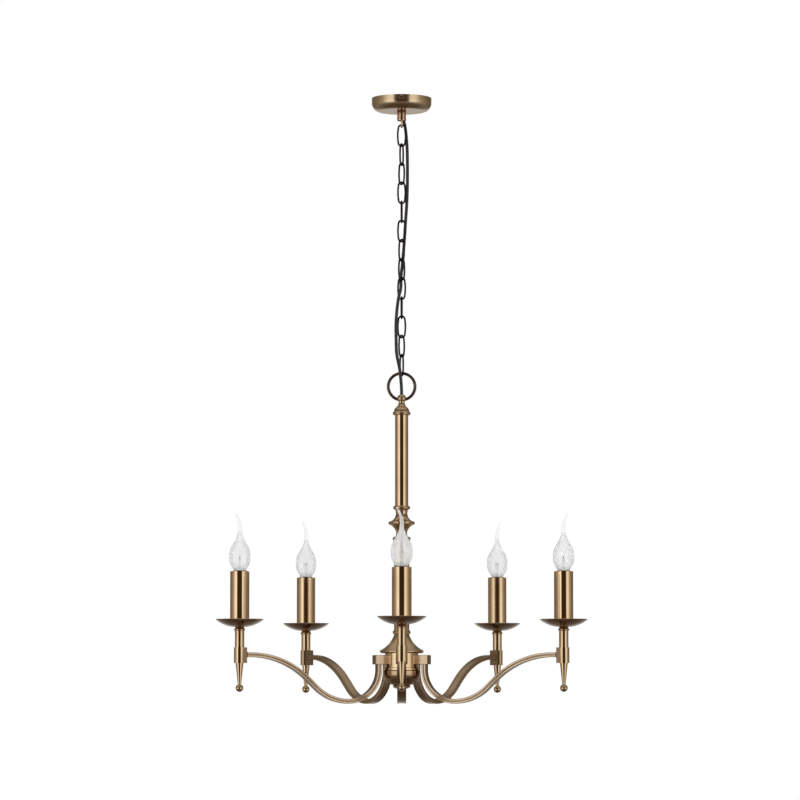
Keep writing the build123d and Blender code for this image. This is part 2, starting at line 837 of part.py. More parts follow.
with BuildPart() as arm_nut_blank:
    nut_face = sqrt((hub_radius - hub_wall) ** 2 - (arm_nut_across_flats / 2 / cos(radians(30))) ** 2)
    with BuildSketch(Plane.YZ.offset(nut_face - arm_nut_height)):
        with Locations((0, lug_middle)):
            RegularPolygon(arm_nut_across_flats / 2, 6, major_radius=False)
            Circle(arm_nipple_radius + slip, mode=Mode.SUBTRACT)
    extrude(amount=arm_nut_height)

for number in range(arm_count):
    azimuth = first_arm_azimuth + number * 360 / arm_count
    with BuildPart() as arm:
        add(arm_blank.part, rotation=(0, 0, azimuth))
    save(arm.part, f"arm_{number + 1}")

with BuildPart() as arm_nipples:
    with PolarLocations(0, arm_count, start_angle=first_arm_azimuth):
        add(arm_nipple_blank.part)
save(arm_nipples.part, "arm_nipples")

with BuildPart() as arm_nuts:
    with PolarLocations(0, arm_count, start_angle=first_arm_azimuth):
        add(arm_nut_blank.part)
save(arm_nuts.part, "arm_nuts")

# ---------------------------------------------------------------- candle ends

with BuildPart() as knuckle_blank:
    with BuildSketch(Plane.XY.offset(knuckle_bottom)):
        Circle(knuckle_radius)
        with Locations((-(knuckle_radius + knuckle_pad) / 2, 0)):
            Rectangle(knuckle_radius + knuckle_pad, knuckle_pad_width)
    extrude(amount=knuckle_height)
    # a tapered boss on the pad that the arm's end meets face to face
    for reach, border in ((0, 0.7), (knuckle_boss, 0.1)):
        with BuildSketch(Plane.YZ.offset(-(knuckle_radius + knuckle_pad + reach))):
            with Locations((0, arm_crest_level)):
                Rectangle(arm_width + 2 * border, arm_thickness + 2 * border)
    loft()
    with BuildSketch(Plane.XY.offset(knuckle_top)):
        Circle(stem_spigot_radius + slip)
    extrude(amount=-stem_spigot_length - seat, mode=Mode.SUBTRACT)
    with BuildSketch(Plane.XY.offset(knuckle_bottom)):
        Circle(spike_spigot_radius + slip)
    extrude(amount=spike_spigot_length + seat, mode=Mode.SUBTRACT)

with BuildPart() as stem_blank:
    collar_bottom = stem_top - stem_collar_height
    with BuildSketch(Plane.XZ):
        with BuildLine():
            Polyline(
                (stem_bore_radius, knuckle_top - stem_spigot_length),
                (stem_spigot_radius, knuckle_top - stem_spigot_length),
                (stem_spigot_radius, knuckle_top),
                (stem_radius, knuckle_top),
                (stem_radius, collar_bottom),
                (stem_collar_radius - 1, collar_bottom),
            )
            ThreePointArc(
                (stem_collar_radius - 1, collar_bottom),
                (stem_collar_radius, collar_bottom + 1.8),
                (stem_collar_radius - 1, collar_bottom + 3.6),
            )
            Polyline(
                (stem_collar_radius - 1, collar_bottom + 3.6),
                (pan_flat_radius + 2, stem_top),
                (stem_spigot_radius, stem_top),
                (stem_spigot_radius, stem_top + stem_spigot_length),
                (stem_bore_radius, stem_top + stem_spigot_length),
                (stem_bore_radius, knuckle_top - stem_spigot_length),
            )
        make_face()
    revolve(axis=Axis.Z)

with BuildPart() as spike_blank:
    spike_end = knuckle_bottom - spike_length
    ball_middle = spike_end - sqrt(spike_ball_radius**2 - spike_tip_radius**2)
    with BuildSketch(Plane.XZ):
        with BuildLine():
            Polyline(
                (0, knuckle_bottom + spike_spigot_length),
                (spike_spigot_radius, knuckle_bottom + spike_spigot_length),
                (spike_spigot_radius, knuckle_bottom),
                (spike_radius, knuckle_bottom),
                (spike_tip_radius, spike_end),
            )
            ThreePointArc(
                (spike_tip_radius, spike_end),
                (spike_ball_radius, ball_middle),
                (0, ball_middle - spike_ball_radius),
            )
            Line((0, ball_middle - spike_ball_radius), (0, knuckle_bottom + spike_spigot_length))
        make_face()
    revolve(axis=Axis.Z)

with BuildPart() as pan_blank:
    with BuildSketch(Plane.XZ):
        with BuildLine():
            pan_line = pan_arc_radius - pan_wall / 2
            pan_line_angle = degrees(atan2(pan_reach, pan_arc_radius - pan_rise))
            Line(
                (stem_spigot_radius + slip, stem_top + pan_wall / 2),
                (pan_flat_radius + 2 * slip, stem_top + pan_wall / 2),
            )
            CenterArc((pan_flat_radius + 2 * slip, pan_arc_centre), pan_line, -90, pan_line_angle)
        trace(line_width=pan_wall)
    revolve(axis=Axis.Z)

with BuildPart() as candle_blank:
    with BuildSketch(Plane.XZ):
        ring_section(candle_radius - candle_wall, candle_radius, candle_bottom, candle_top)
    revolve(axis=Axis.Z)

with BuildPart() as lampholder_blank:
    holder_bottom = pan_top_at(holder_radius)
    socket_bottom = holder_top - holder_socket_depth
    with BuildSketch(Plane.XZ):
        with BuildLine():
            Polyline(
                (stem_spigot_radius + slip, holder_bottom),
                (holder_radius, holder_bottom),
                (holder_radius, holder_top),
                (holder_mouth_radius, holder_top),
                (holder_throat_radius, holder_top - holder_throat_drop),
                (holder_throat_radius, socket_bottom),
                (0, socket_bottom),
                (0, socket_bottom - 3),
                (holder_throat_radius, socket_bottom - 3),
                (holder_throat_radius, holder_bottom + stem_spigot_length),
                (stem_spigot_radius + slip, holder_bottom + stem_spigot_length),
                (stem_spigot_radius + slip, holder_bottom),
            )
        make_face()
    revolve(axis=Axis.Z)

for blank, name in (
    (knuckle_blank, "arm_knuckles"),
    (stem_blank, "candle_stems"),
    (spike_blank, "drop_spikes"),
    (pan_blank, "drip_pans"),
    (lampholder_blank, "lampholders"),
):
    with BuildPart() as group:
        with PolarLocations(candle_circle_radius, arm_count, start_angle=first_arm_azimuth):
            add(blank.part)
    save(group.part, name)

# ---------------------------------------------------------------- lamps


def glass_profile(inset, bottom):
    """The bulb's outline on XZ, brought in by a wall thickness, closed on the axis."""
    points = [(radius - inset, candle_top + height) for radius, height in glass_outline]
    neck = (glass_neck_radius - inset, bottom)
    with BuildLine() as outline:
        Spline(neck, *points, tangents=((0, 1), (-0.12, 1)))
        Polyline(points[-1], (0, points[-1][1]), (0, bottom), neck)
    make_face(outline.edges())


with BuildPart() as glass_blank:
    with BuildSketch(Plane.XZ):
        glass_profile(0, glass_bottom)
    revolve(axis=Axis.Z)
    with BuildSketch(Plane.XZ):
        glass_profile(glass_wall, glass_bottom)
    revolve(axis=Axis.Z, mode=Mode.SUBTRACT)
    tip_root = glass_outline[-1]
    tip_level = candle_top + tip_root[1]
    with BuildLine(Plane.XZ) as tip_path:
        straight = Line((0, tip_level), (0, tip_level + glass_tip_straight))
        JernArc(straight @ 1, straight % 1, glass_tip_bend_radius, -glass_tip_bend)
    tip_wire = tip_path.wire()
    for share, radius in ((0, tip_root[0]), (0.45, 2.7), (1, glass_tip_radius)):
        with BuildSketch(Plane(tip_wire @ share, z_dir=tip_wire % share)):
            Circle(radius)
    loft()
    with Locations(tip_wire @ 1):
        Sphere(glass_tip_radius)

with BuildPart() as cap_blank:
    shell_bottom = glass_bottom - cap_shell_height
    with BuildSketch(Plane.XZ):
        with BuildLine():
            Polyline(
                (0, glass_bottom),
                (cap_radius, glass_bottom),
                (cap_radius, shell_bottom),
                (cap_radius - 2, shell_bottom - 1),
                (cap_contact_radius + 0.6, cap_bottom + 1.2),
                (cap_contact_radius, cap_bottom),
                (0, cap_bottom),
                (0, glass_bottom),
            )
        make_face()
    revolve(axis=Axis.Z)

for number in range(arm_count):
    azimuth = first_arm_azimuth + number * 360 / arm_count
    tip_turn = front_tip_turn if number == 0 else 0
    for blank, name in (
        (candle_blank, "candle_tube"),
        (cap_blank, "lamp_cap"),
        (glass_blank, "lamp_glass"),
    ):
        with BuildPart() as placed:
            with PolarLocations(candle_circle_radius, 1, start_angle=azimuth):
                add(blank.part, rotation=(0, 0, tip_turn))
        save(placed.part, f"{name}_{number + 1}")
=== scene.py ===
import bpy
import json
import math
from mathutils import Matrix, Vector


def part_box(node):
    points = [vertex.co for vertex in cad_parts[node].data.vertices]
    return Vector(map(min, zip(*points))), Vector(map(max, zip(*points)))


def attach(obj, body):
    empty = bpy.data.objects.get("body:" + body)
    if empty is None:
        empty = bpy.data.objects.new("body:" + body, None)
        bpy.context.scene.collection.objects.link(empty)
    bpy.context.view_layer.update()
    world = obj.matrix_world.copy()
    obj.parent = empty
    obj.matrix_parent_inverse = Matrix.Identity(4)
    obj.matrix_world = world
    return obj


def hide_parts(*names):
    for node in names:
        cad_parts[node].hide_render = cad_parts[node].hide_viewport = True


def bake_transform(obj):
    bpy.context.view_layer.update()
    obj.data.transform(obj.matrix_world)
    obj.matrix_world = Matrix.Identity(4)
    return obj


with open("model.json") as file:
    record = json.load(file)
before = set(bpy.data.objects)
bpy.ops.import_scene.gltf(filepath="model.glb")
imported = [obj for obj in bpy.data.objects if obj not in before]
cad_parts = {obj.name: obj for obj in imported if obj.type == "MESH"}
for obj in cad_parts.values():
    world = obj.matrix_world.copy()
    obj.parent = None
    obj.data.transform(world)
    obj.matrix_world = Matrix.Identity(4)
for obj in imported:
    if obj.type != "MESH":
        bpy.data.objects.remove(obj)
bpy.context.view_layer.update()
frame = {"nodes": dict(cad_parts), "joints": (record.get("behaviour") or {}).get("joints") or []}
nodes = frame["nodes"]
joints = {joint["name"]: joint for joint in frame["joints"]}
print("frame loaded:", len(nodes), "nodes")

lampNumbers = range(1, 6)
linkCount = 13
# the colour sockets of a Mix node
mixFirst, mixSecond, mixResult = 6, 7, 2


def addNode(tree, kind, place=(0, 0), **settings):
    node = tree.nodes.new(kind)
    node.location = place
    for name, value in settings.items():
        if name in node.inputs:
            node.inputs[name].default_value = value
        else:
            setattr(node, name, value)
    return node


def newMaterial(name, **surface):
    material = bpy.data.materials.new(name)
    material.use_nodes = True
    tree = material.node_tree
    shader = tree.nodes["Principled BSDF"]
    for socket, value in surface.items():
        shader.inputs[socket].default_value = value
    return material, tree, shader


def newGroup(name, takes, gives):
    group = bpy.data.node_groups.new(name, "ShaderNodeTree")
    for socket, kind, value in takes:
        made = group.interface.new_socket(socket, in_out="INPUT", socket_type=kind)
        made.default_value = value
    for socket, kind in gives:
        group.interface.new_socket(socket, in_out="OUTPUT", socket_type=kind)
    return group, group.nodes.new("NodeGroupInput"), group.nodes.new("NodeGroupOutput")


def placeGroup(tree, group, place=(-500, 0), **values):
    node = tree.nodes.new("ShaderNodeGroup")
    node.node_tree = group
    node.location = place
    for name, value in values.items():
        node.inputs[name].default_value = value
    return node


# two tones of patina, drifting over centimetres and speckled over millimetres
patinaDrift = dict(driftLow=0.35, driftHigh=0.68, driftDetail=4.0, speckScale=900.0, speckMiddle=0.5)
agedTone, takes, gives = newGroup(
    "agedTone",
    [
        ("Bright", "NodeSocketColor", (0.6, 0.4, 0.2, 1)),
        ("Dull", "NodeSocketColor", (0.4, 0.25, 0.12, 1)),
        ("Size", "NodeSocketFloat", 40.0),
        ("Speckle", "NodeSocketFloat", 0.25),
    ],
    [("Color", "NodeSocketColor")],
)
place = addNode(agedTone, "ShaderNodeTexCoord")
drift = addNode(agedTone, "ShaderNodeTexNoise", Detail=patinaDrift["driftDetail"], Roughness=0.6)
speck = addNode(agedTone, "ShaderNodeTexNoise", Scale=patinaDrift["speckScale"], Detail=3.0, Roughness=0.7)
driftRamp = addNode(agedTone, "ShaderNodeMapRange")
driftRamp.inputs["From Min"].default_value = patinaDrift["driftLow"]
driftRamp.inputs["From Max"].default_value = patinaDrift["driftHigh"]
speckled = addNode(agedTone, "ShaderNodeMath", operation="MULTIPLY_ADD", use_clamp=True)
centred = addNode(agedTone, "ShaderNodeMath", operation="SUBTRACT")
centred.inputs[1].default_value = patinaDrift["speckMiddle"]
tones = addNode(agedTone, "ShaderNodeMix", data_type="RGBA")
link = agedTone.links.new
link(place.outputs["Object"], drift.inputs["Vector"])
link(place.outputs["Object"], speck.inputs["Vector"])
link(takes.outputs["Size"], drift.inputs["Scale"])
link(drift.outputs["Fac"], driftRamp.inputs["Value"])
link(speck.outputs["Fac"], centred.inputs[0])
link(centred.outputs[0], speckled.inputs[0])
link(takes.outputs["Speckle"], speckled.inputs[1])
link(driftRamp.outputs["Result"], speckled.inputs[2])
link(speckled.outputs[0], tones.inputs["Factor"])
link(takes.outputs["Bright"], tones.inputs[mixFirst])
link(takes.outputs["Dull"], tones.inputs[mixSecond])
link(tones.outputs[mixResult], gives.inputs["Color"])


# fine lines left by polishing, drawn out along the directions whose stretch is small
polishSpread = dict(low=0.3, high=0.7)
polishLines, takes, gives = newGroup(
    "polishLines",
    [
        ("Stretch", "NodeSocketVector", (60.0, 60.0, 3000.0)),
        ("Rough Low", "NodeSocketFloat", 0.15),
        ("Rough High", "NodeSocketFloat", 0.3),
    ],
    [("Height", "NodeSocketFloat"), ("Roughness", "NodeSocketFloat")],
)
place = addNode(polishLines, "ShaderNodeTexCoord")
scaled = addNode(polishLines, "ShaderNodeVectorMath", operation="MULTIPLY")
lines = addNode(polishLines, "ShaderNodeTexNoise", Scale=1.0, Detail=3.0, Roughness=0.55)
roughness = addNode(polishLines, "ShaderNodeMapRange")
roughness.inputs["From Min"].default_value = polishSpread["low"]
roughness.inputs["From Max"].default_value = polishSpread["high"]
link = polishLines.links.new
link(place.outputs["Object"], scaled.inputs[0])
link(takes.outputs["Stretch"], scaled.inputs[1])
link(scaled.outputs[0], lines.inputs["Vector"])
link(lines.outputs["Fac"], roughness.inputs["Value"])
link(takes.outputs["Rough Low"], roughness.inputs["To Min"])
link(takes.outputs["Rough High"], roughness.inputs["To Max"])
link(lines.outputs["Fac"], gives.inputs["Height"])
link(roughness.outputs["Result"], gives.inputs["Roughness"])


# painted shade, darkening what lies nearer to the column than a given distance, such as the arms' brazed pads
innerPaintedShade, takes, gives = newGroup(
    "innerPaintedShade",
    [
        ("Clean", "NodeSocketColor", (0.6, 0.4, 0.2, 1)),
        ("PaintedShade", "NodeSocketColor", (0.1, 0.06, 0.03, 1)),
        ("Distance", "NodeSocketFloat", 0.28),
        ("Fade", "NodeSocketFloat", 0.0004),
    ],
    [("Color", "NodeSocketColor")],
)
place = addNode(innerPaintedShade, "ShaderNodeTexCoord")
flat = addNode(innerPaintedShade, "ShaderNodeVectorMath", operation="MULTIPLY")
flat.inputs[1].default_value = (1, 1, 0)
reach = addNode(innerPaintedShade, "ShaderNodeVectorMath", operation="LENGTH")
outer = addNode(innerPaintedShade, "ShaderNodeMath", operation="ADD")
nearer = addNode(innerPaintedShade, "ShaderNodeMapRange")
tones = addNode(innerPaintedShade, "ShaderNodeMix", data_type="RGBA")
link = innerPaintedShade.links.new
link(place.outputs["Object"], flat.inputs[0])
link(flat.outputs[0], reach.inputs[0])
link(takes.outputs["Distance"], outer.inputs[0])
link(takes.outputs["Fade"], outer.inputs[1])
link(reach.outputs["Value"], nearer.inputs["Value"])
link(takes.outputs["Distance"], nearer.inputs["From Min"])
link(outer.outputs[0], nearer.inputs["From Max"])
link(nearer.outputs["Result"], tones.inputs["Factor"])
link(takes.outputs["PaintedShade"], tones.inputs[mixFirst])
link(takes.outputs["Clean"], tones.inputs[mixSecond])
link(tones.outputs[mixResult], gives.inputs["Color"])


def wornSurface(name, bright, dull, size, speckle, stretch, rough, depth, metallic=1.0):
    material, tree, shader = newMaterial(name, Metallic=metallic)
    tone = placeGroup(tree, agedTone, (-600, 200), Size=size, Speckle=speckle)
    tone.inputs["Bright"].default_value = (*bright, 1)
    tone.inputs["Dull"].default_value = (*dull, 1)
    polish = placeGroup(tree, polishLines, (-600, -100), Stretch=stretch)
    polish.inputs["Rough Low"].default_value = rough[0]
    polish.inputs["Rough High"].default_value = rough[1]
    bump = addNode(tree, "ShaderNodeBump", (-250, -250), Strength=1.0, Distance=depth)
    tree.links.new(tone.outputs["Color"], shader.inputs["Base Color"])
    tree.links.new(polish.outputs["Roughness"], shader.inputs["Roughness"])
    tree.links.new(polish.outputs["Height"], bump.inputs["Height"])
    tree.links.new(bump.outputs["Normal"], shader.inputs["Normal"])
    return material


finishes = {
    "turnedBrass": dict(
        bright=(0.67, 0.475, 0.285), dull=(0.6, 0.41, 0.235), size=22.0, speckle=0.1,
        stretch=(60.0, 60.0, 2600.0), rough=(0.06, 0.09), depth=0.00000015,
    ),
    "panBrass": dict(
        bright=(0.5, 0.375, 0.275), dull=(0.41, 0.29, 0.2), size=30.0, speckle=0.12,
        stretch=(500.0, 500.0, 900.0), rough=(0.1, 0.16), depth=0.0000005,
    ),
    # painted shade: a darker copy of the brass for the hub's bowl, which faces down and mirrors the dark
    # lower room
    "bowlShadedBrass": dict(
        bright=(0.5, 0.34, 0.2), dull=(0.32, 0.18, 0.1), size=45.0, speckle=0.15,
        stretch=(60.0, 60.0, 2600.0), rough=(0.07, 0.12), depth=0.0000002,
    ),
    "armBrass": dict(
        bright=(0.52, 0.375, 0.245), dull=(0.42, 0.295, 0.185), size=24.0, speckle=0.1,
        stretch=(300.0, 300.0, 300.0), rough=(0.13, 0.19), depth=0.0000005,
    ),
    "roseBrass": dict(
        bright=(0.64, 0.475, 0.3), dull=(0.55, 0.395, 0.235), size=30.0, speckle=0.12,
        stretch=(600.0, 600.0, 1800.0), rough=(0.17, 0.22), depth=0.0000008,
    ),
    "screwBrass": dict(
        bright=(0.85, 0.64, 0.4), dull=(0.72, 0.52, 0.3), size=300.0, speckle=0.2,
        stretch=(900.0, 900.0, 900.0), rough=(0.12, 0.2), depth=0.000001,
    ),
    "copperCup": dict(
        bright=(0.66, 0.4, 0.27), dull=(0.55, 0.32, 0.2), size=120.0, speckle=0.15,
        stretch=(200.0, 200.0, 3200.0), rough=(0.1, 0.16), depth=0.000001,
    ),
    "darkBronze": dict(
        bright=(0.07, 0.052, 0.038), dull=(0.022, 0.018, 0.014), size=90.0, speckle=0.5,
        stretch=(700.0, 700.0, 700.0), rough=(0.2, 0.36), depth=0.000006,
    ),
    "ringBronze": dict(
        bright=(0.22, 0.165, 0.12), dull=(0.08, 0.06, 0.045), size=55.0, speckle=0.4,
        stretch=(700.0, 700.0, 700.0), rough=(0.13, 0.2), depth=0.000002,
    ),
    "zincSteel": dict(
        bright=(0.62, 0.62, 0.6), dull=(0.46, 0.46, 0.45), size=160.0, speckle=0.5,
        stretch=(1200.0, 1200.0, 1200.0), rough=(0.28, 0.42), depth=0.000006,
    ),
    "capMetal": dict(
        bright=(0.74, 0.71, 0.63), dull=(0.6, 0.57, 0.5), size=200.0, speckle=0.2,
        stretch=(300.0, 300.0, 2300.0), rough=(0.25, 0.36), depth=0.000004,
    ),
    "leadWire": dict(
        bright=(0.5, 0.46, 0.4), dull=(0.3, 0.27, 0.23), size=400.0, speckle=0.3,
        stretch=(1500.0, 1500.0, 1500.0), rough=(0.25, 0.4), depth=0.000002,
    ),
    "tungsten": dict(
        bright=(0.22, 0.2, 0.18), dull=(0.12, 0.11, 0.1), size=500.0, speckle=0.3,
        stretch=(2500.0, 2500.0, 2500.0), rough=(0.35, 0.5), depth=0.000004,
    ),
    "holderPlastic": dict(
        bright=(0.1, 0.07, 0.045), dull=(0.07, 0.05, 0.035), size=150.0, speckle=0.5,
        stretch=(2500.0, 2500.0, 2500.0), rough=(0.4, 0.55), depth=0.00001, metallic=0.0,
    ),
    "terminalPlastic": dict(
        bright=(0.84, 0.82, 0.76), dull=(0.78, 0.75, 0.68), size=150.0, speckle=0.5,
        stretch=(2500.0, 2500.0, 2500.0), rough=(0.45, 0.6), depth=0.00001, metallic=0.0,
    ),
}
finish = {name: wornSurface(name, **values) for name, values in finishes.items()}

# painted shade on the pads, which stand on the inner side of the arm ends, from this distance inwards
padPaintedShade = dict(distance=0.2799, fade=0.0004, tone=(0.16, 0.1, 0.055))
knuckleBrass = wornSurface("knuckleBrass", **finishes["turnedBrass"])
tree = knuckleBrass.node_tree
shader = tree.nodes["Principled BSDF"]
clean = shader.inputs["Base Color"].links[0].from_socket
# the knuckles keep their brass colour, with a painted shade laid over the pads
paintedShade = placeGroup(tree, innerPaintedShade, (-300, 300), Distance=padPaintedShade["distance"], Fade=padPaintedShade["fade"])
paintedShade.inputs["PaintedShade"].default_value = (*padPaintedShade["tone"], 1)
tree.links.new(clean, paintedShade.inputs["Clean"])
tree.links.new(paintedShade.outputs["Color"], shader.inputs["Base Color"])
finish["knuckleBrass"] = knuckleBrass

# thin clear glass with a pale bloom: open where it faces the eye and closing towards its edges
bulbGlass = dict(
    tint=(0.95, 0.955, 0.945), clear=0.4, edge=0.6, turn=0.15, transmission=0.45, ior=1.45,
    ripple=0.0000015, rippleScale=120.0,
)
glass, tree, shader = newMaterial("bulbGlass", Metallic=0.0, Roughness=0.0, IOR=bulbGlass["ior"])
shader.inputs["Base Color"].default_value = (*bulbGlass["tint"], 1)
shader.inputs["Transmission Weight"].default_value = bulbGlass["transmission"]
facing = addNode(tree, "ShaderNodeLayerWeight", (-700, 200), Blend=0.5)
cover = addNode(tree, "ShaderNodeMapRange", (-400, 200))
cover.inputs["From Min"].default_value = bulbGlass["turn"]
cover.inputs["To Min"].default_value = bulbGlass["clear"]
cover.inputs["To Max"].default_value = bulbGlass["edge"]
tree.links.new(facing.outputs["Facing"], cover.inputs["Value"])
tree.links.new(cover.outputs["Result"], shader.inputs["Alpha"])
ripple = addNode(tree, "ShaderNodeTexNoise", (-700, -200), Scale=bulbGlass["rippleScale"], Detail=2.0)
place = addNode(tree, "ShaderNodeTexCoord", (-900, -200))
bump = addNode(tree, "ShaderNodeBump", (-400, -200), Strength=1.0, Distance=bulbGlass["ripple"])
tree.links.new(place.outputs["Object"], ripple.inputs["Vector"])
tree.links.new(ripple.outputs["Fac"], bump.inputs["Height"])
tree.links.new(bump.outputs["Normal"], shader.inputs["Normal"])
finish["bulbGlass"] = glass

wearers = {
    "turnedBrass": [
        "ring_holder", "column_cap", "column_tube", "column_knop", "lower_tube", "hub_bell", "hub_body",
        "hub_finial_nut", "candle_stems", "drop_spikes",
        *[f"candle_tube_{n}" for n in lampNumbers],
    ],
    "knuckleBrass": ["arm_knuckles"],
    "panBrass": ["drip_pans"],
    "bowlShadedBrass": ["hub_bowl"],
    "armBrass": [f"arm_{n}" for n in lampNumbers],
    "roseBrass": ["ceiling_rose"],
    "screwBrass": ["rose_screws", "ceiling_loop"],
    "copperCup": ["loop_cup"],
    "darkBronze": [f"chain_link_{n:02d}" for n in range(1, linkCount + 1)],
    "ringBronze": ["suspension_ring"],
    "zincSteel": [
        "ceiling_bracket", "nipple_nuts", "hanging_nipple", "tie_rod", "arm_nuts", "arm_nipples",
    ],
    "capMetal": [f"lamp_cap_{n}" for n in lampNumbers],
    "bulbGlass": [f"lamp_glass_{n}" for n in lampNumbers],
    "holderPlastic": ["lampholders"],
    "terminalPlastic": ["terminal_block"],
}
for name, worn in wearers.items():
    for node in worn:
        nodes[node].data.materials.clear()
        nodes[node].data.materials.append(finish[name])
print("finishes on the metal, glass and plastic")

# what shows inside each clear lamp, in metres from the top of its candle tube
lampInside = dict(
    stemProfile=[(0.0052, -0.0080), (0.0046, -0.0050), (0.0031, -0.0010), (0.0026, 0.0040), (0.0024, 0.0075)],
    stemSides=32,
    pressSqueeze=0.45,
    rodRadius=0.0007,
    rodSides=16,
    rodTop=0.0165,
    rodSink=0.001,
    beadRadius=0.0013,
    # rises and widths of the bead, as shares of its radius
    beadProfile=[(0.3, 0.8), (0.9, 1.0), (1.5, 0.8), (1.9, 0.35)],
    wireRadius=0.00022,
    wireSteps=6,
    leadWires=[(0.0012, 0.0, 0.0060), (0.0016, 0.0, 0.0110), (0.0040, 0.0, 0.0165), (0.0046, 0.0, 0.0215)],
    supportWires=[(0.0, 0.0, 0.0165), (0.0008, 0.0, 0.0200), (0.0021, 0.0, 0.0262)],
    filamentRadius=0.0004,
    filament=[
        (-0.0046, 0, 0.0214), (-0.0034, 0, 0.0240), (-0.0021, 0, 0.0264), (-0.0010, 0, 0.0240),
        (0, 0, 0.0222),
        (0.0010, 0, 0.0240), (0.0021, 0, 0.0264), (0.0034, 0, 0.0240), (0.0046, 0, 0.0214),
    ],
    turns=(20, 75, 130, 40, 100),
    smoothAngle=50,
)


def startRound(radius, vertices, level):
    bpy.ops.object.select_all(action="DESELECT")
    bpy.ops.mesh.primitive_circle_add(vertices=vertices, radius=radius, fill_type="NGON", location=(0, 0, 0))
    started = bpy.context.object
    bpy.ops.object.mode_set(mode="EDIT")
    bpy.ops.mesh.select_all(action="SELECT")
    bpy.ops.transform.translate(value=(0, 0, level))
    return started


def drawUp(before, level, radius, nextLevel):
    # the ring that is selected goes up to the next level and takes its radius there
    bpy.ops.mesh.extrude_region_move(TRANSFORM_OT_translate={"value": (0, 0, nextLevel - level)})
    share = radius / before
    bpy.ops.transform.resize(value=(share, share, 1), center_override=(0, 0, nextLevel))


def closeRound():
    bpy.ops.mesh.select_all(action="SELECT")
    bpy.ops.mesh.normals_make_consistent(inside=False)
    bpy.ops.object.mode_set(mode="OBJECT")


def turnStem(values):
    # the glass foot that carries the wires, drawn up ring by ring and pressed flat at its top
    profile = values["stemProfile"]
    stem = startRound(profile[0][0], values["stemSides"], profile[0][1])
    for (before, level), (radius, nextLevel) in zip(profile, profile[1:]):
        drawUp(before, level, radius, nextLevel)
    bpy.ops.transform.resize(value=(1, values["pressSqueeze"], 1), center_override=(0, 0, profile[-1][1]))
    closeRound()
    rounded = stem.modifiers.new("rounded", "SUBSURF")
    rounded.levels = rounded.render_levels = 1
    bpy.ops.object.modifier_apply(modifier=rounded.name)
    return stem


def turnRod(values):
    # a thin rod out of the press with a bead on top that holds the supports
    bead = values["beadRadius"]
    beadFoot = values["rodTop"] - bead
    level, radius = values["stemProfile"][-1][1] - values["rodSink"], values["rodRadius"]
    rod = startRound(radius, values["rodSides"], level)
    rings = [(beadFoot, values["rodRadius"])]
    rings += [(beadFoot + rise * bead, width * bead) for rise, width in values["beadProfile"]]
    for nextLevel, nextRadius in rings:
        drawUp(radius, level, nextRadius, nextLevel)
        level, radius = nextLevel, nextRadius
    closeRound()
    return rod


def bendWire(points, radius, steps):
    bpy.ops.object.select_all(action="DESELECT")
    bpy.ops.curve.primitive_nurbs_path_add(location=(0, 0, 0))
    wire = bpy.context.object
    curve = wire.data
    curve.splines.clear()
    spline = curve.splines.new("NURBS")
    spline.points.add(len(points) - 1)
    for point, place in zip(spline.points, points):
        point.co = (*place, 1)
    spline.order_u = 3
    spline.use_endpoint_u = True
    curve.resolution_u = steps
    curve.bevel_depth = radius
    curve.bevel_resolution = 1
    curve.use_fill_caps = True
    bpy.ops.object.convert(target="MESH")
    return bpy.context.object


def joinPieces(pieces, name, worn, smoothAngle):
    bpy.ops.object.select_all(action="DESELECT")
    for piece in pieces:
        piece.select_set(True)
    bpy.context.view_layer.objects.active = pieces[0]
    if len(pieces) > 1:
        bpy.ops.object.join()
    joined = bpy.context.object
    joined.name = name
    joined.data.name = name
    joined.data.materials.clear()
    joined.data.materials.append(worn)
    bpy.ops.object.shade_smooth_by_angle(angle=math.radians(smoothAngle))
    return joined


def acrossLamp(points):
    return [(-x, -y, z) for x, y, z in points]


def fitLamps(values):
    angle, steps = values["smoothAngle"], values["wireSteps"]
    glassPart = joinPieces([turnStem(values), turnRod(values)], "lampStem", finish["bulbGlass"], angle)
    wireLines = []
    for points in (values["leadWires"], values["supportWires"]):
        wireLines += [points, acrossLamp(points)]
    wires = [bendWire(points, values["wireRadius"], steps) for points in wireLines]
    wirePart = joinPieces(wires, "lampWires", finish["leadWire"], angle)
    filament = bendWire(values["filament"], values["filamentRadius"], steps)
    coil = joinPieces([filament], "lampFilament", finish["tungsten"], angle)
    for number, turn in zip(lampNumbers, values["turns"]):
        x, y, _ = joints[f"lamp_{number}_screw"]["pos_m"]
        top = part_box(f"candle_tube_{number}")[1].z
        for model, slot in ((glassPart, "clear_glass"), (wirePart, "cap_metal"), (coil, "cap_metal")):
            piece = bpy.data.objects.new(f"{model.name}_{number}", model.data.copy())
            bpy.context.scene.collection.objects.link(piece)
            turned = Matrix.Rotation(math.radians(turn), 4, "Z")
            piece.data.transform(Matrix.Translation((x, y, top)) @ turned)
            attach(piece, f"lamp_{number}")
    for model in (glassPart, wirePart, coil):
        bpy.data.objects.remove(model)
    print("stems, wires and filaments in", len(lampNumbers), "lamps")


fitLamps(lampInside)

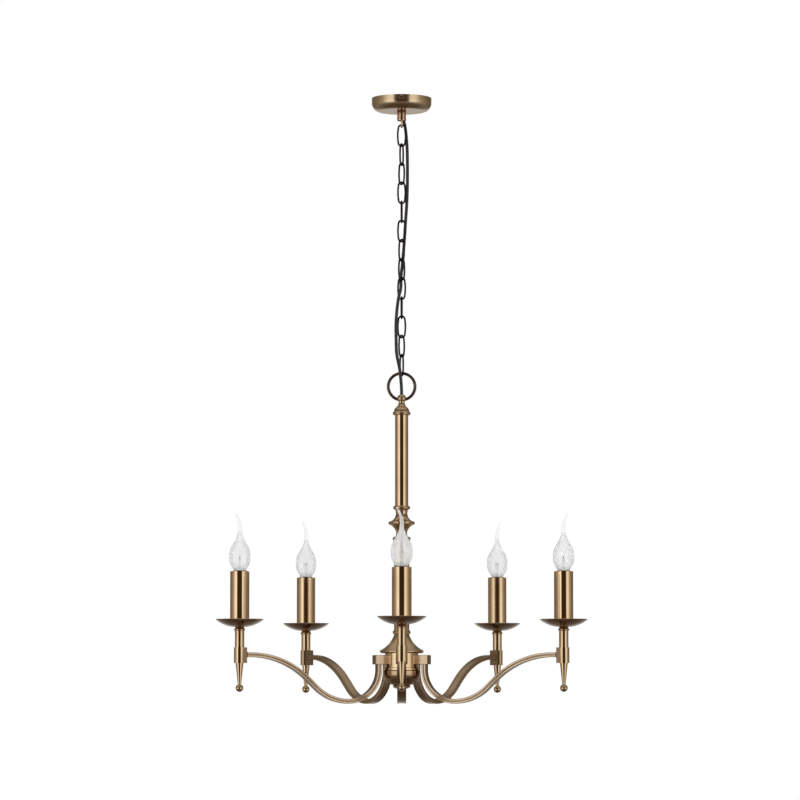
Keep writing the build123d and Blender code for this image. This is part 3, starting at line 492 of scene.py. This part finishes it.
flex = dict(
    radius=0.0027,
    sides=16,
    steps=12,
    route=[
        (0, 0, -0.0200),
        (0, 0, -0.0285),
        (0.0029, 0.0008, -0.0365),
        (0.0054, 0.0044, -0.0445),
        (0.0074, 0.0056, -0.0580),
        (0.0096, 0.0048, -0.0850),
        (0.0100, 0.0042, -0.1200),
        (0.0099, 0.0054, -0.1500),
        (0.0090, 0.0064, -0.1780),
        (0.0066, 0.0076, -0.2120),
        (0.0042, 0.0080, -0.2500),
        (0.0014, 0.0088, -0.2840),
        (-0.0016, 0.0078, -0.3070),
        (-0.0008, 0.0002, -0.3260),
        (-0.0053, -0.0043, -0.3410),
        (-0.0080, -0.0054, -0.3620),
        (-0.0100, -0.0046, -0.3880),
        (-0.0094, -0.0032, -0.4140),
        (-0.0091, -0.0043, -0.4380),
        (-0.0036, -0.0071, -0.4620),
        (-0.0018, -0.0068, -0.4780),
        (0, 0, -0.4970),
        (0, 0, -0.5153),
    ],
    blendReach=0.012,
    closestRings=0.0002,
)

# two sets of strands, as turns around the flex and turns along a metre of it, with painted shade in the gaps
# between them
blackBraid = dict(
    around=12.0, along=420.0, gapPaintedShade=(0.006, 0.006, 0.006), strandTone=(0.03, 0.028, 0.026),
    depth=0.00012, rough=0.62, sheen=0.25,
)
braid, tree, shader = newMaterial("blackBraid", Roughness=blackBraid["rough"])
shader.inputs["Sheen Weight"].default_value = blackBraid["sheen"]
uv = addNode(tree, "ShaderNodeUVMap", (-1100, 0), uv_map="along")
waves = []
for slant in (1, -1):
    turned = addNode(tree, "ShaderNodeVectorMath", (-900, 120 * slant), operation="DOT_PRODUCT")
    turned.inputs[1].default_value = (blackBraid["around"], blackBraid["along"] * slant, 0)
    wave = addNode(tree, "ShaderNodeMath", (-700, 120 * slant), operation="MULTIPLY")
    wave.inputs[1].default_value = 2 * math.pi
    sine = addNode(tree, "ShaderNodeMath", (-500, 120 * slant), operation="SINE")
    tree.links.new(uv.outputs["UV"], turned.inputs[0])
    tree.links.new(turned.outputs["Value"], wave.inputs[0])
    tree.links.new(wave.outputs[0], sine.inputs[0])
    waves.append(sine)
weave = addNode(tree, "ShaderNodeMath", (-300, 0), operation="MAXIMUM")
shade = addNode(tree, "ShaderNodeMix", (-100, 100), data_type="RGBA")
# painted shade: the gaps between the strands are darker than the strands
shade.inputs[mixFirst].default_value = (*blackBraid["gapPaintedShade"], 1)
shade.inputs[mixSecond].default_value = (*blackBraid["strandTone"], 1)
bump = addNode(tree, "ShaderNodeBump", (-100, -150), Strength=1.0, Distance=blackBraid["depth"])
tree.links.new(waves[0].outputs[0], weave.inputs[0])
tree.links.new(waves[1].outputs[0], weave.inputs[1])
tree.links.new(weave.outputs[0], shade.inputs["Factor"])
tree.links.new(weave.outputs[0], bump.inputs["Height"])
tree.links.new(shade.outputs[mixResult], shader.inputs["Base Color"])
tree.links.new(bump.outputs["Normal"], shader.inputs["Normal"])


def flexLine():
    curve = bpy.data.curves.new("flexLine", "CURVE")
    curve.dimensions = "3D"
    curve.resolution_u = flex["steps"]
    spline = curve.splines.new("NURBS")
    spline.points.add(len(flex["route"]) - 1)
    for point, place in zip(spline.points, flex["route"]):
        point.co = (*place, 1)
    spline.order_u = 3
    spline.use_endpoint_u = True
    holder = bpy.data.objects.new("flexLine", curve)
    bpy.context.scene.collection.objects.link(holder)
    mesh = bpy.data.meshes.new_from_object(holder)
    points = [vertex.co.copy() for vertex in mesh.vertices]
    bpy.data.objects.remove(holder)
    bpy.data.meshes.remove(mesh)
    return points


def cutLine(points, levels):
    pieces, current, waiting = [], [points[0]], list(levels)
    for before, after in zip(points, points[1:]):
        while waiting and after.z <= waiting[0] < before.z:
            share = (before.z - waiting[0]) / (before.z - after.z)
            cut = before.lerp(after, share)
            current.append(cut)
            pieces.append(current)
            current = [cut.copy()]
            waiting.pop(0)
        if (after - current[-1]).length > flex["closestRings"]:
            current.append(after)
    pieces.append(current)
    return pieces


def flexPiece(name, points, startLength):
    sides, radius = flex["sides"], flex["radius"]
    vertices, faces, lengths = [], [], []
    run = startLength
    side = Vector((1, 0, 0))
    for index, point in enumerate(points):
        ahead = points[min(index + 1, len(points) - 1)]
        behind = points[max(index - 1, 0)]
        direction = (ahead - behind).normalized()
        across = (side - direction * side.dot(direction)).normalized()
        over = direction.cross(across)
        if index:
            run += (point - points[index - 1]).length
        lengths.append(run)
        for step in range(sides):
            turn = 2 * math.pi * step / sides
            vertices.append(point + radius * (across * math.cos(turn) + over * math.sin(turn)))
    rings = len(points)
    for ring in range(rings - 1):
        for step in range(sides):
            following = (step + 1) % sides
            faces.append((ring * sides + step, ring * sides + following,
                          (ring + 1) * sides + following, (ring + 1) * sides + step))
    faces.append(tuple(reversed(range(sides))))
    faces.append(tuple((rings - 1) * sides + step for step in range(sides)))
    mesh = bpy.data.meshes.new(name)
    mesh.from_pydata([tuple(v) for v in vertices], [], faces)
    layer = mesh.uv_layers.new(name="along")
    for face in mesh.polygons:
        corners = list(face.loop_indices)
        cap = len(corners) > 4
        closing = any(mesh.loops[c].vertex_index % sides == sides - 1 for c in corners)
        for corner in corners:
            vertex = mesh.loops[corner].vertex_index
            step = vertex % sides
            if not cap and step == 0 and closing:
                step = sides
            layer.data[corner].uv = (step / sides, lengths[vertex // sides])
        face.use_smooth = not cap
    mesh.materials.append(braid)
    piece = bpy.data.objects.new(name, mesh)
    bpy.context.scene.collection.objects.link(piece)
    return piece, run


def hangFlex():
    levels = []
    for n in range(1, linkCount + 1):
        low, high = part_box(f"chain_link_{n:02d}")
        levels.append((low.z + high.z) / 2)
    run = 0
    for index, points in enumerate(cutLine(flexLine(), levels)):
        piece, endRun = flexPiece(f"flexBraid_{index + 1:02d}", points, run)
        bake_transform(piece)
        if index == 0:
            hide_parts("flex_cable")
        run = endRun


hangFlex()

studio = dict(
    cameraPlace=(-0.0028, -6.848, -1.0483), tilt=4.44, lens=182.0, sensorWidth=36.0,
    floorLevel=-2.1, floorWidth=40.0,
    # what polished metal mirrors, by direction: the share of a turn from behind, through the left,
    # the camera's side at a half and the right, then its tone
    room=[
        (0.0, (0.54, 0.54, 0.54)), (0.04, (0.5, 0.5, 0.5)),
        (0.08, (0.16, 0.14, 0.11)), (0.2, (0.3, 0.27, 0.23)), (0.29, (0.55, 0.5, 0.44)),
        (0.345, (1.35, 1.42, 1.5)), (0.41, (1.5, 1.62, 1.75)),
        (0.423, (0.07, 0.05, 0.025)), (0.5, (0.05, 0.03, 0.012)), (0.576, (0.07, 0.05, 0.025)),
        (0.591, (1.35, 1.42, 1.5)), (0.655, (1.2, 1.25, 1.3)),
        (0.71, (0.5, 0.45, 0.4)), (0.8, (0.27, 0.24, 0.2)), (0.92, (0.14, 0.12, 0.1)),
        (0.96, (0.5, 0.5, 0.5)), (1.0, (0.54, 0.54, 0.54)),
    ],
    # the same above and below the horizon, by how steeply up or down, and where each takes over
    ceiling=[
        (0.2, (0.12, 0.1, 0.08)), (0.55, (0.2, 0.18, 0.15)),
        (0.8, (0.5, 0.49, 0.45)), (1.0, (0.56, 0.55, 0.5)),
    ],
    ground=[
        (0.35, (0.34, 0.33, 0.33)), (0.6, (0.2, 0.19, 0.19)),
        (0.85, (0.12, 0.095, 0.075)), (1.0, (0.08, 0.055, 0.035)),
    ],
    ceilingStart=0.12, ceilingFull=0.36, groundStart=0.28, groundFull=0.6,
)


def mirrorRays(tree, left, top):
    # one for what metal mirrors straight, and nothing for the eye, matt surfaces and glass
    path = addNode(tree, "ShaderNodeLightPath", (left, top))
    clear = addNode(tree, "ShaderNodeMath", (left + 200, top), operation="SUBTRACT")
    clear.inputs[0].default_value = 1.0
    straight = addNode(tree, "ShaderNodeMath", (left + 400, top), operation="MULTIPLY")
    tree.links.new(path.outputs["Is Transmission Ray"], clear.inputs[1])
    tree.links.new(path.outputs["Is Glossy Ray"], straight.inputs[0])
    tree.links.new(clear.outputs[0], straight.inputs[1])
    return straight.outputs[0]


bpy.ops.object.select_all(action="DESELECT")
bpy.ops.mesh.primitive_plane_add(size=studio["floorWidth"], location=(0, 0, studio["floorLevel"]))
floor = bpy.context.object
floor.name = "studioFloor"
# white paper to the eye and through glass, and open to the room's own tones where metal mirrors it
paper, tree, shader = newMaterial("studioPaper", Roughness=1.0)
shader.inputs["Base Color"].default_value = (1, 1, 1, 1)
shader.inputs["Specular IOR Level"].default_value = 0.0
gap = addNode(tree, "ShaderNodeBsdfTransparent", (-200, 0))
both = addNode(tree, "ShaderNodeMixShader", (200, 200))
output = tree.nodes["Material Output"]
link = tree.links.new
link(mirrorRays(tree, -600, 500), both.inputs["Fac"])
link(shader.outputs[0], both.inputs[1])
link(gap.outputs[0], both.inputs[2])
link(both.outputs[0], output.inputs["Surface"])
floor.data.materials.append(paper)

world = bpy.data.worlds.new("studioRoom")
bpy.context.scene.world = world
world.use_nodes = True
tree = world.node_tree
tree.nodes.clear()
place = addNode(tree, "ShaderNodeTexCoord", (-1200, 0))
parts = addNode(tree, "ShaderNodeSeparateXYZ", (-1000, 0))
turn = addNode(tree, "ShaderNodeMath", (-800, 0), operation="ARCTAN2")
share = addNode(tree, "ShaderNodeMapRange", (-600, 0))
share.inputs["From Min"].default_value = -math.pi
share.inputs["From Max"].default_value = math.pi
back = addNode(tree, "ShaderNodeMath", (-800, -200), operation="MULTIPLY")
back.inputs[1].default_value = -1.0


def toneRamp(place, tones):
    node = addNode(tree, "ShaderNodeValToRGB", place)
    while len(node.color_ramp.elements) < len(tones):
        node.color_ramp.elements.new(0.5)
    for element, (position, tone) in zip(node.color_ramp.elements, tones):
        element.position = position
        element.color = (*tone, 1)
    return node


def easedShare(place, low, high):
    node = addNode(tree, "ShaderNodeMapRange", place, interpolation_type="SMOOTHSTEP")
    node.inputs["From Min"].default_value = low
    node.inputs["From Max"].default_value = high
    return node


ramp = toneRamp((-400, 0), studio["room"])
ground = toneRamp((-400, -700), studio["ground"])
ceiling = toneRamp((-400, -250), studio["ceiling"])
above = easedShare((-600, -300), studio["ceilingStart"], studio["ceilingFull"])
drop = addNode(tree, "ShaderNodeMath", (-800, -500), operation="MULTIPLY")
drop.inputs[1].default_value = -1.0
below = easedShare((-600, -500), studio["groundStart"], studio["groundFull"])
upper = addNode(tree, "ShaderNodeMix", (-200, -100), data_type="RGBA")
whole = addNode(tree, "ShaderNodeMix", (0, -200), data_type="RGBA")
room = addNode(tree, "ShaderNodeBackground", (200, -50), Strength=1.0)
plain = addNode(tree, "ShaderNodeBackground", (0, -150), Color=(1, 1, 1, 1), Strength=1.0)
both = addNode(tree, "ShaderNodeMixShader", (250, 0))
output = addNode(tree, "ShaderNodeOutputWorld", (450, 0))
link = tree.links.new
link(place.outputs["Generated"], parts.inputs[0])
link(parts.outputs["Y"], back.inputs[0])
link(parts.outputs["X"], turn.inputs[0])
link(back.outputs[0], turn.inputs[1])
link(turn.outputs[0], share.inputs["Value"])
link(share.outputs["Result"], ramp.inputs["Fac"])
link(parts.outputs["Z"], above.inputs["Value"])
link(parts.outputs["Z"], ceiling.inputs["Fac"])
link(parts.outputs["Z"], drop.inputs[0])
link(drop.outputs[0], below.inputs["Value"])
link(drop.outputs[0], ground.inputs["Fac"])
link(above.outputs["Result"], upper.inputs["Factor"])
link(ramp.outputs["Color"], upper.inputs[mixFirst])
link(ceiling.outputs["Color"], upper.inputs[mixSecond])
link(below.outputs["Result"], whole.inputs["Factor"])
link(upper.outputs[mixResult], whole.inputs[mixFirst])
link(ground.outputs["Color"], whole.inputs[mixSecond])
link(whole.outputs[mixResult], room.inputs["Color"])
link(mirrorRays(tree, -400, 400), both.inputs["Fac"])
link(plain.outputs[0], both.inputs[1])
link(room.outputs[0], both.inputs[2])
link(both.outputs[0], output.inputs["Surface"])
# the room differs by kind of ray, so bounced rays find it and no map of it is sampled
world.cycles.sampling_method = "NONE"

cameraData = bpy.data.cameras.new("photoView")
cameraData.sensor_width = studio["sensorWidth"]
cameraData.lens = studio["lens"]
camera = bpy.data.objects.new("photoView", cameraData)
bpy.context.scene.collection.objects.link(camera)
camera.location = studio["cameraPlace"]
camera.rotation_euler = (math.radians(90 + studio["tilt"]), 0, 0)
bpy.context.scene.camera = camera
bpy.context.scene.view_settings.view_transform = "Standard"
print("studio and camera set")
